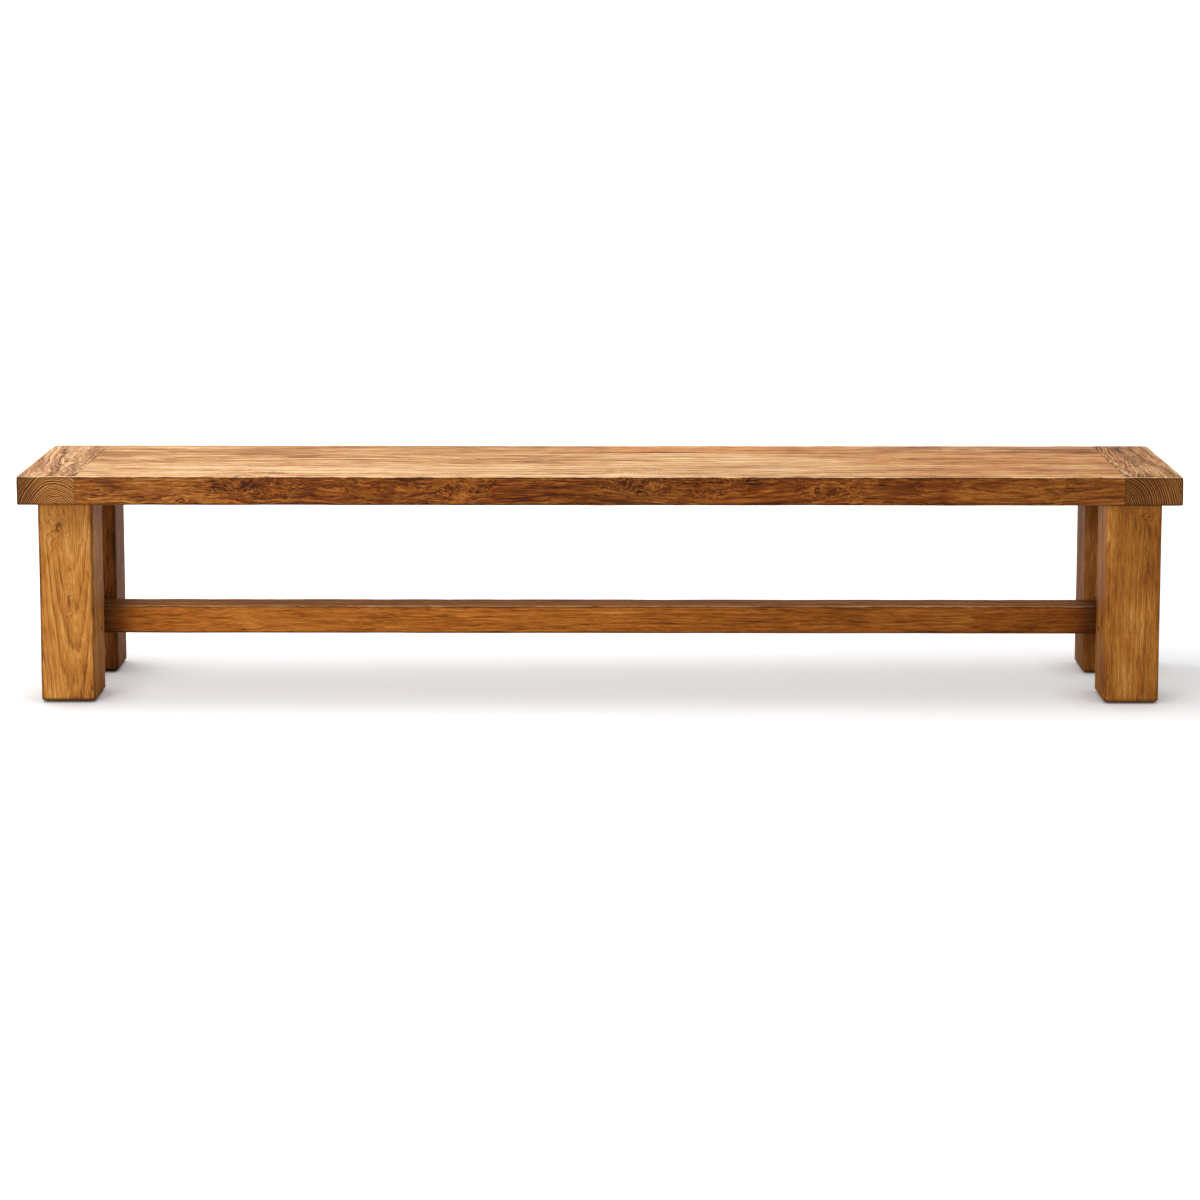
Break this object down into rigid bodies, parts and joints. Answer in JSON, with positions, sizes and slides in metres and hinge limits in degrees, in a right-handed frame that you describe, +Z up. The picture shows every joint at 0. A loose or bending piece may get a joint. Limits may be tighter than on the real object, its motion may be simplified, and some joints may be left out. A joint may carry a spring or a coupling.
{
  "type": "bench",
  "caption": "Long rustic bench in solid teak: planked seat with breadboard ends, square legs, low cross rails and one long stretcher between them.",
  "frame": {"origin": "on the floor, under the middle of the seat", "axes": "+X along the bench to the right as seen from the front, +Y from the front edge to the back edge, +Z up"},
  "size_m": [2.3, 0.38, 0.46],
  "materials": {
    "seat_teak": "satin, open grain",
    "breadboard_teak": "satin, open grain",
    "leg_teak": "satin, open grain",
    "rail_teak": "satin, open grain",
    "peg_wood": "matt end grain",
    "glide_plastic": "matt"
  },
  "bodies": {
    "root": {"seat_plank_front": "seat_teak", "seat_plank_middle": "seat_teak", "seat_plank_back": "seat_teak", "breadboard_left": "breadboard_teak", "breadboard_right": "breadboard_teak", "leg_front_left": "leg_teak", "leg_front_right": "leg_teak", "leg_back_left": "leg_teak", "leg_back_right": "leg_teak", "cross_rail_left": "rail_teak", "cross_rail_right": "rail_teak", "stretcher": "rail_teak", "slip_tenons_front": "peg_wood", "slip_tenons_back": "peg_wood", "seat_pegs_left": "peg_wood", "seat_pegs_right": "peg_wood", "rail_pegs_left": "peg_wood", "rail_pegs_right": "peg_wood", "stretcher_pegs": "peg_wood", "floor_glides": "glide_plastic"}
  },
  "joints": []
}
